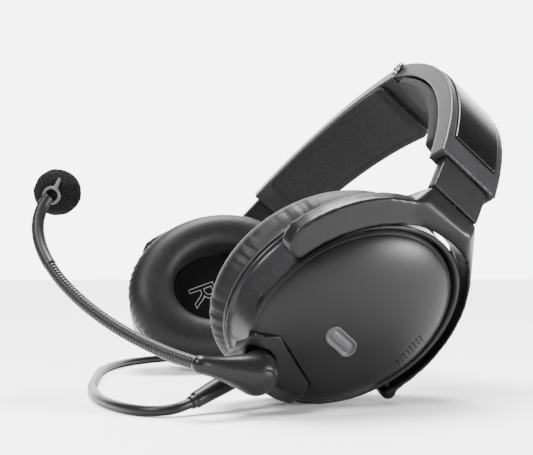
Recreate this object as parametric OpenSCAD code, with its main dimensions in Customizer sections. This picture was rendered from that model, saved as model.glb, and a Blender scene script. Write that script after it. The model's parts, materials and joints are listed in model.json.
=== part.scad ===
// Aviation headset with a folding headband, two active ear cups, a boom microphone
// and a twin-plug down lead. Millimetres. It lies as it is put down on a table:
// on the lower edges of both ear cups, headband leaning back.

/* [Ear cups] */
// Distance between the two cup rim planes, measured at the cup centres
cup_spacing = 158.5; // [150:0.5:180]
// How far the cup tops lean outwards, degrees
cup_splay = 15.6; // [10:0.1:20]
// How far the cups turn their outer faces to the back, degrees
cup_toe = 19.2; // [12:0.1:22]
// How far the long axis of the cup leans to the back, degrees
cup_rake = 30; // [24:0.5:34]
// Long outside axis of the ear cushion
cushion_long = 104; // [98:1:108]
// Short outside axis of the ear cushion
cushion_short = 84; // [80:1:88]
// Thickness of the ear cushion
cushion_t = 19; // [15:1:24]
// Long axis of the ear opening
ear_long = 54; // [46:1:62]
// Short axis of the ear opening
ear_short = 42; // [36:1:46]
// Depth of the shell behind the cushion ring
shell_depth = 17; // [15:0.5:19]
// Wall of the shell and of the cap
shell_wall = 2.2; // [1.6:0.1:2.8]
// Height of the cap's dome above its edge
dome_h = 8; // [5:0.5:10]

/* [Driver] */
// Diameter of the loudspeaker frame
driver_d = 40; // [32:1:44]
// Diameter of the loudspeaker magnet
magnet_d = 24; // [16:1:28]

/* [Forks] */
// Depth of the fork arms, measured square to the cup
fork_t = 8; // [7:0.5:9]
// Gap between the fork arms and the cup's cap
fork_gap = 4; // [3:0.1:6]
// Width of the fork arms beside the cup
fork_arm_w = 7.4; // [6.6:0.1:8.4]
// Diameter of the two pivot pins of a fork
pivot_d = 4; // [3:0.1:5]

/* [Headband] */
// Radius of the outer face of each headband half
band_r = 144; // [138:1:150]
// Length of each half as an angle about its centre, degrees
band_sweep = 54; // [50:1:58]
// Slope of each half at the hinge, degrees
hinge_slope = 7; // [4:0.5:10]
// Thickness of the headband halves
band_t = 8.2; // [8:0.1:10]
// Width of the headband at the hinge
band_w_top = 38; // [34:1:44]
// Width of the headband at its open ends
band_w_end = 28.4; // [28:0.2:34]
// Thickness of the soft pad under each half
pad_t = 6.5; // [5:0.5:12]
// Diameter of the hinge pin
hinge_pin_d = 3.6; // [3:0.1:4.4]

/* [Sliders] */
// Width of the sliders
slider_w = 24; // [20:0.5:24]
// Thickness of the sliders
slider_t = 4.6; // [4:0.1:5]
// Length of slider that shows below the headband
slider_out = 17.5; // [15:0.5:24]
// Length of slider inside the headband
slider_in = 30; // [24:1:34]
// Running clearance of a slider, pin or panel
clear = 0.3; // [0.2:0.05:0.5]
// Diameter of the swivel pins between slider and fork
swivel_d = 3.2; // [2.6:0.1:3.6]

/* [Boom microphone] */
// Diameter of the boom's hub
hub_d = 15; // [13:0.5:16]
// Length of the arm from the hub to the gooseneck
arm_len = 23; // [20:0.5:26]
// Diameter of the gooseneck
gooseneck_d = 4.8; // [4:0.1:5.4]
// Diameter of the foam windscreen
windscreen_d = 21; // [19:0.5:28]
// Diameter of the microphone capsule
mic_d = 9.6; // [8:0.1:10.4]

/* [Cord and plugs] */
// Diameter of the cord
cord_d = 4; // [3.4:0.1:4.4]
// Length of the control module on the cord
box_len = 72; // [64:1:84]
// Width of the control module
box_w = 30; // [26:1:34]
// Height of the control module
box_h = 19; // [18:0.5:24]
// Diameter of the headphone plug's pin
phone_pin_d = 6.35; // [6.3:0.01:6.4]
// Diameter of the microphone plug's pin
mic_pin_d = 5.23; // [5.18:0.01:5.28]
// Length of the headphone plug's pin
phone_pin_len = 30.5; // [28:0.5:32]
// Length of the microphone plug's pin
mic_pin_len = 28; // [26:0.5:32]

/* [Hidden] */
$fn = 64;

// Resting pose: lean of the headset and the lift that puts it on the floor
rest_lean = 38.2;
rest_shift = [0, 3.5, 43.25];

// Headband, in the head frame: X to the wearer's left, Y to the back, Z up
hinge_z = 140;
band_y = 5.5;
deg_per_mm = 180 / PI / band_r;
band_top_a = 90 - hinge_slope;
band_end_a = band_top_a - band_sweep;
slider_bottom_a = band_end_a - slider_out * deg_per_mm;
slider_top_a = band_end_a + slider_in * deg_per_mm;
slider_travel_in = 12;
slot_top_a = slider_top_a + (slider_travel_in + 3) * deg_per_mm;
band_mid_r = band_r - band_t / 2;
pin_drop = band_t / 2;
knuckle_r = band_t / 2 + 0.2;
knuckle_gap = 0.3;
hinge_open = 36;
trim_t = 1.6;
trim_seat = 0.8;
trim_margin = 4;
trim_top_a = band_top_a - 9;
trim_end_a = band_end_a + 5;
pad_top_a = band_top_a - 5;
pad_end_a = band_end_a + 5;
spring_wire = 1.2;
spring_turns = 5;

// Hinge knuckles along Y, as [start, end] from the front edge of the band
left_knuckles = [[0, 6], [27, 32]];
right_knuckles = [[6.3, 12], [32.3, 38]];
spring_y = [12.3, 26.7];

// Cups, in the cup frame: X out of the ear, Y to the back, Z up the long axis
cup_x = cup_spacing / 2;
rim_long = cushion_long / 2 - 2.5;
rim_short = cushion_short / 2 - 2.3;
ring_t = 1.6;
shell_start = ring_t + 0.8;
shell_end = shell_start + shell_depth;
shell_long = rim_long - 2.2;
shell_short = rim_short - 2.4;
cap_long = rim_long - 5.9;
cap_short = rim_short - 4.8;
cap_shift = [-1.6, -2.7];
cap_edge = shell_end + 2;
cap_top = cap_edge + dome_h;
ellipse_steps = 48;
port_at = [1, -12.9];
port_turn = 33;
port_len = 17;
port_w = 8;
vent_at = [19.1, 17.5];
vent_turn = 121;
vent_pitch = 1.9;
vent_r = 0.45;
baffle_t = 1.8;
screw_r = 1.5;

// Forks, turned in the cup plane so that their pivots lie level
fork_lean = 20;
fork_start = shell_end - 5.4;
fork_end = fork_start + fork_t;
pivot_d_pos = shell_end - 0.1 - pivot_d / 2;
pivot_z = -4.5;
fork_in_long = cap_long + fork_gap + 1.6;
fork_in_short = cap_short + fork_gap - 0.3;
fork_out_long = fork_in_long + fork_arm_w - 3.6;
fork_out_short = fork_in_short + fork_arm_w;
fork_shift = [-4.5, -1];
// ends of the arms, on the level of the pivots
front_tip = [-fork_in_short - fork_arm_w * 0.78, -4];
front_tip_r = 6.2;
rear_tip = [fork_in_short + 1.8, -5];
rear_tip_r = 3.5;
plan_size = 160;
swivel_room = 2.4;
root_angles = [for (a = [82:8:146]) a];

// Boom, hub in the cup frame and gooseneck in the head frame
hub_at = [0.5, -47.3];
hub_base = cap_edge + 3;
hub_h = 10;
axle_r = 2.5;
arm_turn = -120;
arm_h = 7;
arm_lift = 2.5;
tip_lift = 1.2;
neck_curve = [[106, -36, -58.5], [48, -61, -69], [5, -108, -62], [-3, -109, -31]];
neck_sides = 12;
neck_steps = 24;
split_i = 10;
neck_gap = 2.6;
bend_r = 2.2;
neck_points = [for (i = [0:neck_steps]) bezier(neck_curve, i / neck_steps)];
mic_at = [-4.5, -107.5, -25.5];
mic_dir = unit(mic_at - neck_points[neck_steps]);

// Cord, where it lies on the floor
cord_r = cord_d / 2;
relief_from = [86, -40, 14];
relief_to = [93, -62, 4.6];
relief_r = [4.2, 3.7, 2.7];
coil_at = [-160, 60];
coil_out_r = 27;
coil_in_r = 14;
coil_h = 12;
box_at = [-152, 110];
box_turn = 159;
cord_points = [
    [93, -62, 4.6], [94.5, -69, 2.9], [92, -76, 2.2], [84, -82, 2.1], [68, -86, 2.1],
    [46, -87, 2.1], [22, -84.5, 2.1], [0, -81, 2.1], [-25, -75, 2.1], [-49, -69, 2.1],
    [-72, -62, 2.1], [-92, -53, 2.1], [-109, -42, 2.1], [-123, -27, 2.1], [-132, -9, 2.1],
    [-136, 11, 2.1], [-137, 30, 2.1], [-136, 48, 2.1]
];
tail_points = [
    [-133.4, 62, 10], [-128, 69, 8], [-118, 73, 4], [-105, 76, 2.1], [-96, 84, 3],
    [-98, 92, 5.5], [-107, 94.5, 7.6], [-118.4, 97.1, 8.2]
];
screw_places = [for (a = [40, 140, 220, 320])
    [(rim_short - 5) * cos(a), (rim_long - 5) * sin(a)]];
arm_tip = hub_at + arm_len * [cos(arm_turn), sin(arm_turn)];
plug_gap = 20;
plug_turn = box_turn + 180;
plug_at = [-158, 152];
plug_z = 8.2;
plug_back = 36;
sleeve_len = 30;
lead_r = 1.8;
lead_steps = 14;
door_x = -box_len / 2 + 20;
door_len = 34;
door_edge = 3;
wheel_x = -box_len / 2 + 10;
wheel_r = 6;
wheel_h = 4;
button_x = box_len / 2 - 11;
button_r = 3;

// ---------- helpers ----------

// Puts the head frame into its resting pose on the floor
module rest() translate(rest_shift) rotate([-rest_lean, 0, 0]) children();

// Mirrors to the wearer's right side when side is -1
module sided(side) mirror([side < 0 ? 1 : 0, 0, 0]) children();

// Frame of one ear cup
module cup_frame(side)
    rest() sided(side) translate([cup_x, 0, 0]) rotate([0, 0, cup_toe])
        rotate([0, cup_splay, 0]) rotate([-cup_rake, 0, 0]) children();

// Frame of one fork
module fork_frame(side) cup_frame(side) rotate([fork_lean, 0, 0]) children();

// Frame at the centre of one headband arc
module arc_frame(side)
    rest() sided(side)
        translate([-band_r * sin(hinge_slope), band_y, hinge_z - band_r * cos(hinge_slope)])
            children();

// Frame on the headband arc at angle a: X out, Z along the arc towards the hinge
module on_arc(side, a)
    arc_frame(side) rotate([0, -a, 0]) translate([band_mid_r, 0, 0]) children();

// Bar that follows the headband arc
module arc_bar(r0, r1, w, a0, a1)
    rotate([90, 0, 0]) rotate([0, 0, a0]) rotate_extrude(angle = a1 - a0, $fn = 180)
        translate([r0, -w / 2]) square([r1 - r0, w]);

// Plan of the headband, narrowing from the hinge to the end, grown by g
module band_plan(side, g = 0)
    rest() sided(side) translate([0, band_y, -20]) linear_extrude(200)
        polygon([
            [knuckle_gap / 2, -band_w_top / 2 - g], [band_r, -band_w_end / 2 - g],
            [band_r, band_w_end / 2 + g], [knuckle_gap / 2, band_w_top / 2 + g]
        ]);

// Prism along the cup's X axis
module out_of_ear(d0, d1)
    translate([d0, 0, 0]) rotate([90, 0, 90]) linear_extrude(d1 - d0) children();

module ellipse(short, long)
    polygon([for (i = [0:ellipse_steps - 1])
        [short * cos(i * 360 / ellipse_steps), long * sin(i * 360 / ellipse_steps)]]);

// Smooth body through elliptical sections, each [d, short, long]
module loft(sections)
    hull() for (s = sections) out_of_ear(s[0], s[0] + 0.01) ellipse(s[1], s[2]);

module pill(len, w) {
    for (e = [-1, 1]) translate([e * (len - w) / 2, 0]) circle(d = w, $fn = 32);
    square([len - w, w], center = true);
}

// Tube swept along points, ring by ring
function unit(v) = v / norm(v);
function along(p, i) = unit(p[min(i + 1, len(p) - 1)] - p[max(i - 1, 0)]);
function side_of(t) = unit(cross(t, abs(t[2]) > 0.8 ? [0, 1, 0] : [0, 0, 1]));
function ring(c, t, r, n, phase) = let (a = side_of(t), b = cross(t, a))
    [for (k = [0:n - 1]) c + r * (a * cos(k * 360 / n + phase) + b * sin(k * 360 / n + phase))];
module tube(p, r, n) {
    m = len(p);
    points = [for (i = [0:m - 1]) each ring(p[i], along(p, i), r[i], n, 180 / n)];
    spots = [for (i = [0:m - 2]) for (k = [0:n - 1]) [i * n + k, i * n + (k + 1) % n]];
    faces = concat(
        [for (s = spots) [s[0], s[0] + n, s[1] + n]],
        [for (s = spots) [s[0], s[1] + n, s[1]]],
        [[for (k = [0:n - 1]) k]],
        [[for (k = [n - 1:-1:0]) (m - 1) * n + k]]);
    polyhedron(points, faces);
}

// Curve with four control points, and a smooth curve through a list of points
function bezier(c, t) = pow(1 - t, 3) * c[0] + 3 * t * pow(1 - t, 2) * c[1]
    + 3 * t * t * (1 - t) * c[2] + t * t * t * c[3];
function spline(p, i, t) = let (
        a = p[max(i - 1, 0)], b = p[i], c = p[i + 1], d = p[min(i + 2, len(p) - 1)])
    0.5 * (2 * b + (c - a) * t + (2 * a - 5 * b + 4 * c - d) * t * t
        + (3 * b - a - 3 * c + d) * t * t * t);
function smooth(p, n) = concat(
    [for (i = [0:len(p) - 2]) for (k = [0:n - 1]) spline(p, i, k / n)], [p[len(p) - 1]]);

// ---------- headband ----------

module band_frame(side) color("#3b3c3e") {
    knuckles = side > 0 ? left_knuckles : right_knuckles;
    difference() {
        union() {
            intersection() {
                arc_frame(side) arc_bar(band_r - band_t, band_r, band_w_top, band_end_a, band_top_a);
                band_plan(side);
            }
            for (k = knuckles) hinge_cylinder(k[0], k[1], knuckle_r);
        }
        // room for the other half's knuckles, and for the spring
        for (k = side > 0 ? right_knuckles : left_knuckles)
            hinge_cylinder(k[0] - knuckle_gap, k[1] + knuckle_gap, knuckle_r + 0.6);
        hinge_cylinder(spring_y[0] - knuckle_gap, spring_y[1] + knuckle_gap, knuckle_r + 0.6);
        hinge_cylinder(-1, band_w_top + 1, hinge_pin_d / 2 + 0.1);
        // wedge that lets the halves fold outwards, above the pin
        rest() sided(side) translate([0, band_y, hinge_z - pin_drop])
            for (k = side > 0 ? [[6.1, 26.9], [32.1, 40]] : [[-2, 6.2], [12.1, 32.2]])
                translate([0, k[0] - band_w_top / 2, 0]) rotate([0, hinge_open / 2, 0])
                    translate([-20, 0, 0]) cube([20, k[1] - k[0], 12]);
        // seat of the trim, slot of the slider
        intersection() {
            arc_frame(side) arc_bar(band_r - trim_seat, band_r + 1, band_w_top, trim_end_a, trim_top_a);
            band_plan(side, -trim_margin + clear / 2);
        }
        arc_frame(side) arc_bar(band_mid_r - slider_t / 2 - clear, band_mid_r + slider_t / 2 + clear,
            slider_w + 2 * clear, band_end_a - 1, slot_top_a);
    }
}

// Cylinder on the hinge axis, between two distances from the front edge
module hinge_cylinder(y0, y1, r)
    rest() translate([0, band_y - band_w_top / 2 + y0, hinge_z - pin_drop])
        rotate([-90, 0, 0]) cylinder(h = y1 - y0, r = r);

module band_hinge_pin() color("#9a9b9d") hinge_cylinder(-0.4, band_w_top + 0.4, hinge_pin_d / 2);

module band_hinge_cap() color("#b4b5b7") difference() {
    hinge_cylinder(-1.8, -0.4, knuckle_r - 0.4);
    hinge_cylinder(-2.0, -1.2, knuckle_r - 1.6);
}

module band_torsion_spring() color("#2a2a2b") {
    steps = 14;
    turns = spring_turns * steps;
    coil_r = hinge_pin_d / 2 + 0.3 + spring_wire / 2;
    run = spring_y[1] - spring_y[0] - spring_wire;
    coil = [for (i = [0:turns]) [
        coil_r * sin(i * 360 / steps),
        spring_y[0] + spring_wire / 2 + run * i / turns,
        coil_r * cos(i * 360 / steps)]];
    rest() translate([0, band_y - band_w_top / 2, hinge_z - pin_drop])
        tube(coil, [for (p = coil) spring_wire / 2], 6);
}

module band_trim(side) color("#111113") intersection() {
    arc_frame(side) arc_bar(band_r - trim_seat, band_r - trim_seat + trim_t, band_w_top,
        trim_end_a + clear / 4, trim_top_a - clear / 4);
    band_plan(side, -trim_margin - clear / 4);
}

module band_cushion(side) color("#1b1b1d") intersection() {
    arc_frame(side) arc_bar(band_r - band_t - pad_t, band_r - band_t - clear, band_w_top + 2,
        pad_end_a, pad_top_a);
    band_plan(side, 0.6);
}

// ---------- sliders ----------

module slider(side) color("#4a4b4d") difference() {
    arc_frame(side) arc_bar(band_mid_r - slider_t / 2, band_mid_r + slider_t / 2, slider_w,
        slider_bottom_a, slider_top_a);
    on_arc(side, slider_bottom_a) translate([0, 0, -1]) cylinder(d = swivel_d, h = 9);
}

module swivel_pin(side) color("#8c8d8f") on_arc(side, slider_bottom_a)
    translate([0, 0, -8]) cylinder(d = swivel_d, h = 16);

// ---------- forks ----------

module fork_plan() difference() {
    union() {
        difference() {
            rotate(-fork_lean) translate(fork_shift) ellipse(fork_out_short, fork_out_long);
            translate([-plan_size / 2, -plan_size]) square([plan_size / 2, plan_size + front_tip[1]]);
            translate([0, -plan_size]) square([plan_size / 2, plan_size + rear_tip[1]]);
        }
        translate(front_tip) circle(r = front_tip_r, $fn = 32);
        translate(rear_tip) circle(r = rear_tip_r, $fn = 32);
    }
    fork_hole();
}

// Stretch of the fork's outer edge that the neck grows out of
module neck_root() translate(fork_shift) polygon([
    for (a = root_angles) [(fork_out_short - 0.2) * cos(a), (fork_out_long - 0.2) * sin(a)],
    for (i = [len(root_angles) - 1:-1:0]) let (a = root_angles[i])
        [(fork_out_short - 5) * cos(a), (fork_out_long - 5) * sin(a)]]);

module fork_hole() rotate(-fork_lean) ellipse(fork_in_short, fork_in_long);

module yoke(side) color("#2c2d2f") difference() {
    union() {
        fork_frame(side) out_of_ear(fork_start, fork_end) fork_plan();
        difference() {
            hull() {
                on_arc(side, slider_bottom_a)
                    translate([-slider_t / 2, -slider_w / 2, -2 * clear - 1]) cube([slider_t, slider_w, 1]);
                on_arc(side, slider_bottom_a)
                    translate([-slider_t / 2, -slider_w / 2, -9]) cube([slider_t, slider_w, 1]);
                cup_frame(side) out_of_ear(fork_start + 0.5, fork_end - 0.5) neck_root();
            }
            fork_frame(side) out_of_ear(fork_start - 12, fork_end + 12) fork_hole();
        }
    }
    // room for the slider as the fork swivels
    on_arc(side, slider_bottom_a)
        translate([-slider_t / 2 - swivel_room, -slider_w / 2 - 2 * clear, -clear])
            cube([slider_t + 2 * swivel_room, slider_w + 4 * clear, slider_out + slider_in]);
    fork_frame(side) pivot_cylinders(pivot_d / 2 + 0.1, 14);
    on_arc(side, slider_bottom_a) translate([0, 0, -8.3]) cylinder(d = swivel_d + 0.2, h = 12);
}

// Two cylinders on the tilt axis, from the shell outwards
module pivot_cylinders(r, h)
    for (e = [-1, 1])
        translate([pivot_d_pos, 0, pivot_z]) rotate([e * -90, 0, 0])
            translate([0, 0, fork_in_short - 4.5]) cylinder(r = r, h = h);

module pivot_pins(side) color("#8c8d8f") fork_frame(side) pivot_cylinders(pivot_d / 2, 9);

// ---------- ear cups ----------

module shell_solid(g = 0) loft([
    [shell_start - 0.001, rim_short - g, rim_long - g],
    [shell_start + 2.4, rim_short - 0.8 - g, rim_long - 0.8 - g],
    [shell_end, shell_short - g, shell_long - g]]);

module cup_shell(side) color("#333436") cup_frame(side) difference() {
    union() {
        difference() {
            shell_solid();
            loft([
                [shell_start - 1, rim_short - shell_wall, rim_long - shell_wall],
                [shell_end + 1, shell_short - shell_wall, shell_long - shell_wall]]);
        }
        // ledge that carries the baffle, and the two pivot bosses
        out_of_ear(shell_start + baffle_t, shell_start + baffle_t + 1.4) difference() {
            ellipse(rim_short - 1.6, rim_long - 1.6);
            ellipse(rim_short - 7, rim_long - 7);
        }
        intersection() {
            rotate([fork_lean, 0, 0]) for (e = [-1, 1])
                translate([pivot_d_pos, 0, pivot_z]) rotate([e * -90, 0, 0])
                    translate([0, 0, fork_in_short - 8]) cylinder(r = pivot_d / 2 + 1.6, h = 6.8);
            out_of_ear(0, shell_end) square([120, 120], center = true);
        }
    }
    rotate([fork_lean, 0, 0]) pivot_cylinders(pivot_d / 2, 14);
    for (p = screw_places) out_of_ear(shell_start, shell_start + 8) translate(p) circle(r = screw_r);
    if (side > 0) module_cut(clear);
}

module cap_solid(g = 0) translate([0, cap_shift[0], cap_shift[1]]) loft([
    [shell_end + (g > 0 ? -1 : clear), cap_short + 0.7 - g, cap_long + 0.7 - g],
    [cap_edge - g, cap_short - g, cap_long - g],
    [cap_edge + dome_h * 0.5 - g, cap_short * 0.84 - g, cap_long * 0.84 - g],
    [cap_edge + dome_h * 0.85 - g, cap_short * 0.55 - g, cap_long * 0.55 - g],
    [cap_top - g, cap_short * 0.18, cap_long * 0.18]]);

module cup_cap(side) color("#242527") cup_frame(side) difference() {
    cap_solid();
    cap_solid(shell_wall);
    out_of_ear(cap_edge, cap_top + 5) translate(port_at) rotate(port_turn) pill(port_len, port_w);
    for (i = [0:7]) for (j = [-1:1])
        out_of_ear(cap_edge, cap_top + 5) translate(vent_at) rotate(vent_turn)
            translate([(i - 3.5) * vent_pitch, j * vent_pitch]) circle(r = vent_r, $fn = 8);
    module_cut(clear);
}

module port_mesh(side) color("#6c6d6f") cup_frame(side)
    out_of_ear(cap_top - 2.4, cap_top - 0.6) translate(port_at) rotate(port_turn)
        pill(port_len - 0.2, port_w - 0.2);

// Plan of the boom module at the lower end of a cup, grown by g
module module_plan(g = 0)
    polygon([
        [-24 - g, -64], [-12.5 - g, -45], [-9 - g, -35.5 + g],
        [16 + g, -27 + g], [26 + g, -33], [34 + g, -64]
    ]);

module module_cut(g) out_of_ear(shell_start + 5 - g, cap_top + 10) module_plan(g);

module module_body() difference() {
    intersection() {
        loft([
            [shell_start + 5, rim_short - 0.5, rim_long + 3.5],
            [cap_edge - 1, cap_short + 2, cap_long + 6],
            [cap_edge + dome_h * 0.6, cap_short * 0.8, cap_long + 1]]);
        out_of_ear(shell_start + 5, cap_top + 10) module_plan();
    }
    shell_core();
}

// Inside of the shell, kept free by whatever closes its lower end
module shell_core() loft([
    [shell_start - 1, rim_short - 5, rim_long - 5],
    [cap_edge + 1, cap_short - 4, cap_long - 6]]);

module boom_module() color("#2a2b2d") cup_frame(1) difference() {
    module_body();
    out_of_ear(cap_edge, hub_base + 10) translate(hub_at) circle(d = hub_d + 1);
    out_of_ear(shell_start, cap_top + 10) translate(hub_at) circle(r = axle_r);
}

module right_module_blank() color("#2a2b2d") cup_frame(-1) intersection() {
    cap_solid();
    out_of_ear(shell_end + 0.5, cap_top + 10) module_plan();
}

module baffle(side) color("#1c1c1e") cup_frame(side) difference() {
    out_of_ear(shell_start, shell_start + baffle_t)
        ellipse(rim_short - shell_wall - 0.4, rim_long - shell_wall - 0.4);
    out_of_ear(0, 10) circle(d = driver_d - 4);
    for (p = screw_places) out_of_ear(0, 10) translate(p) circle(r = screw_r);
}

module driver(side) color("#55565a") cup_frame(side) {
    out_of_ear(shell_start + baffle_t, shell_start + baffle_t + 3) circle(d = driver_d);
    out_of_ear(shell_start + baffle_t + 3, shell_start + baffle_t + 8) circle(d = magnet_d);
    out_of_ear(shell_start + 0.4, shell_start + baffle_t) circle(d = driver_d - 4.4);
}

module anc_board(side) color("#1d5a36") cup_frame(side)
    out_of_ear(shell_end - 2.6, shell_end - 1) square([44, 40], center = true);

module ear_mic(side) color("#a8a9ab") cup_frame(side)
    out_of_ear(shell_start - 2.2, shell_start) translate([0, 21]) circle(r = 2.4);

module baffle_screws(side) color("#9a9b9d") cup_frame(side)
    for (p = screw_places) {
        out_of_ear(shell_start - 0.7, shell_start + 7) translate(p) circle(r = screw_r);
        out_of_ear(shell_start - 0.7, shell_start) translate(p) circle(r = screw_r + 1);
    }

module cushion_ring(side) color("#262628") cup_frame(side) difference() {
    out_of_ear(0, ring_t) ellipse(rim_short + 0.3, rim_long + 0.3);
    out_of_ear(-1, ring_t + 1) ellipse(rim_short - 10, rim_long - 10);
}

module ear_cushion(side) color("#1a1a1b") cup_frame(side) difference() {
    loft([
        [-0.01, rim_short - 0.5, rim_long - 0.5],
        [-cushion_t * 0.25, cushion_short / 2 - 0.6, cushion_long / 2 - 0.6],
        [-cushion_t * 0.5, cushion_short / 2, cushion_long / 2],
        [-cushion_t * 0.8, cushion_short / 2 - 2.6, cushion_long / 2 - 2.6],
        [-cushion_t, cushion_short / 2 - 9, cushion_long / 2 - 9]]);
    out_of_ear(-cushion_t - 1, 1) ellipse(ear_short / 2, ear_long / 2);
}

module scrim(side) color("#0d0d0e") cup_frame(side)
    out_of_ear(-1.4, -0.4) ellipse(ear_short / 2 - 0.2, ear_long / 2 - 0.2);

// ---------- boom microphone ----------

module boom_hub() color("#2f3032") cup_frame(1) difference() {
    union() {
        out_of_ear(hub_base, hub_base + hub_h) translate(hub_at) circle(d = hub_d);
        hull() {
            out_of_ear(hub_base + arm_lift, hub_base + arm_lift + arm_h)
                translate(hub_at) circle(d = hub_d, $fn = 32);
            out_of_ear(hub_base + tip_lift, hub_base + tip_lift + arm_h - 0.5)
                translate(arm_tip) circle(d = arm_h, $fn = 32);
        }
    }
    out_of_ear(hub_base - 1, hub_base + hub_h + 1) translate(hub_at) circle(r = axle_r + 0.1);
}

module boom_axle() color("#9a9b9d") cup_frame(1) {
    out_of_ear(shell_end - 1, hub_base + hub_h + 0.5) translate(hub_at) circle(r = axle_r);
    out_of_ear(hub_base + hub_h + 0.1, hub_base + hub_h + 1) translate(hub_at) circle(r = axle_r + 1.9);
}

function part_of(p, a, b) = [for (i = [a:b]) p[i]];

// Square to the plane in which the gooseneck curves at its bend
bend_axis = unit(cross(neck_points[split_i] - neck_points[split_i - 1],
    neck_points[split_i + 1] - neck_points[split_i]));

module gooseneck_lower() color("#3a3b3d") rest() {
    p = part_of(neck_points, 0, split_i);
    tube(p, [for (q = p) gooseneck_d / 2], neck_sides);
    translate(neck_points[split_i])
        rotate([0, acos(bend_axis[2]), atan2(bend_axis[1], bend_axis[0])])
            cylinder(r = bend_r, h = gooseneck_d, center = true);
}

module gooseneck_upper() color("#3a3b3d") rest() {
    p = part_of(neck_points, split_i, neck_steps);
    gap = unit(p[1] - p[0]) * neck_gap;
    q = concat([p[0] + gap], part_of(p, 1, len(p) - 1));
    sleeve_from = len(q) - 8;
    tube(q, [for (i = [0:len(q) - 1]) gooseneck_d / 2 + (i > sleeve_from ? 0.3 : 0)], neck_sides);
}

module at_mic() rest() translate(neck_points[neck_steps])
    rotate([0, acos(mic_dir[2]), atan2(mic_dir[1], mic_dir[0])]) children();

module mic_capsule() color("#1f1f21") at_mic() cylinder(d = mic_d, h = 9);

module mic_clip() color("#6f7072") at_mic() difference() {
    translate([0, 0, -1.5]) cylinder(d = mic_d + 3, h = 3.4);
    translate([0, 0, 0]) cylinder(d = mic_d, h = 4);
    translate([0, 0, -3]) cylinder(d = gooseneck_d + 0.6, h = 4);
}

module windscreen() color("#161617") rest() difference() {
    translate(mic_at) sphere(d = windscreen_d);
    translate(neck_points[neck_steps]) rotate([0, acos(mic_dir[2]), atan2(mic_dir[1], mic_dir[0])])
        translate([0, 0, -8]) cylinder(d = mic_d + 3.4, h = 10);
    translate(neck_points[neck_steps]) rotate([0, acos(mic_dir[2]), atan2(mic_dir[1], mic_dir[0])])
        cylinder(d = mic_d, h = 9);
}

// ---------- cord and plugs ----------

module cord_strain_relief() color("#232325")
    tube([relief_from, relief_from * 0.6 + relief_to * 0.4, relief_to], relief_r, 16);

module cord_run() color("#19191a")
    let (p = smooth(cord_points, 3)) tube(p, [for (q = p) cord_r], 8);

module cord_tail() color("#19191a")
    let (p = smooth(tail_points, 3)) tube(p, [for (q = p) cord_r], 8);

module cord_coil() color("#19191a") translate([coil_at[0], coil_at[1], 0.1])
    rotate_extrude() translate([coil_in_r, 0]) square([coil_out_r - coil_in_r, coil_h]);

module box_frame() translate([box_at[0], box_at[1], 0.1]) rotate(box_turn) children();

module control_module() color("#1f1f20") box_frame() difference() {
    translate([-box_len / 2, -box_w / 2, 0]) cube([box_len, box_w, box_h]);
    translate([door_x, -box_w / 2 + door_edge, box_h - 1.2])
        cube([door_len, box_w - 2 * door_edge, 4]);
    for (e = [-1, 1]) translate([wheel_x, e * box_w / 2, box_h / 2])
        cylinder(r = wheel_r + 0.4, h = wheel_h + 1, center = true);
    translate([button_x, 0, box_h - 3.6]) cylinder(r = button_r + clear, h = 6);
}

module battery_door() color("#29292b") box_frame()
    translate([door_x + clear, -box_w / 2 + door_edge + clear, box_h - 1.2])
        cube([door_len - 2 * clear, box_w - 2 * door_edge - 2 * clear, 1.6]);

module volume_wheel(side) color("#3a3a3c") box_frame()
    translate([wheel_x, side * box_w / 2, box_h / 2])
        cylinder(r = wheel_r, h = wheel_h, center = true);

module power_button() color("#5f6062") box_frame()
    translate([button_x, 0, box_h - 2.6]) cylinder(r = button_r, h = 3.4);

module plug_frame(side) translate([plug_at[0], plug_at[1], 0]) rotate(plug_turn)
    translate([0, side * plug_gap / 2, plug_z]) children();

module plug(pin_d, pin_len, sleeve_d) rotate([0, 90, 0]) difference() {
    union() {
        cylinder(d = pin_d, h = pin_len);
        translate([0, 0, -sleeve_len]) cylinder(d = sleeve_d, h = sleeve_len);
        translate([0, 0, -plug_back]) cylinder(d = 8, h = plug_back - sleeve_len);
    }
    translate([0, 0, pin_len - 6.5]) rotate_extrude() translate([pin_d / 2, 0]) circle(r = 0.7, $fn = 16);
}

module phone_plug() color("#b8b9ba") plug_frame(1) plug(phone_pin_d, phone_pin_len, 15);
module mic_plug() color("#b8b9ba") plug_frame(-1) plug(mic_pin_d, mic_pin_len, 15);

module plug_leads() color("#19191a") for (s = [-1, 1]) {
    back = [cos(plug_turn), sin(plug_turn), 0];
    left = [-sin(plug_turn), cos(plug_turn), 0];
    start = [box_at[0], box_at[1], plug_z] - back * (box_len / 2) + left * s * -6;
    finish = [plug_at[0], plug_at[1], plug_z] - back * plug_back + left * s * plug_gap / 2;
    reach = (24 + s * 6) * 1.2;
    bend = [start, start - back * reach, finish - back * reach, finish];
    tube([for (i = [0:lead_steps]) bezier(bend, i / lead_steps)],
        [for (i = [0:lead_steps]) lead_r], 8);
}

band_frame(1);  // left_band_frame
band_frame(-1);  // right_band_frame
band_hinge_pin();
band_hinge_cap();
band_torsion_spring();
band_trim(1);  // left_band_trim
band_trim(-1);  // right_band_trim
band_cushion(1);  // left_band_cushion
band_cushion(-1);  // right_band_cushion
slider(1);  // left_slider
slider(-1);  // right_slider
swivel_pin(1);  // left_swivel_pin
swivel_pin(-1);  // right_swivel_pin
yoke(1);  // left_yoke
yoke(-1);  // right_yoke
pivot_pins(1);  // left_pivot_pins
pivot_pins(-1);  // right_pivot_pins
cup_shell(1);  // left_cup_shell
cup_shell(-1);  // right_cup_shell
cup_cap(1);  // left_cup_cap
cup_cap(-1);  // right_cup_cap
port_mesh(1);  // left_port_mesh
port_mesh(-1);  // right_port_mesh
baffle(1);  // left_baffle
baffle(-1);  // right_baffle
driver(1);  // left_driver
driver(-1);  // right_driver
anc_board(1);  // left_anc_board
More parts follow.
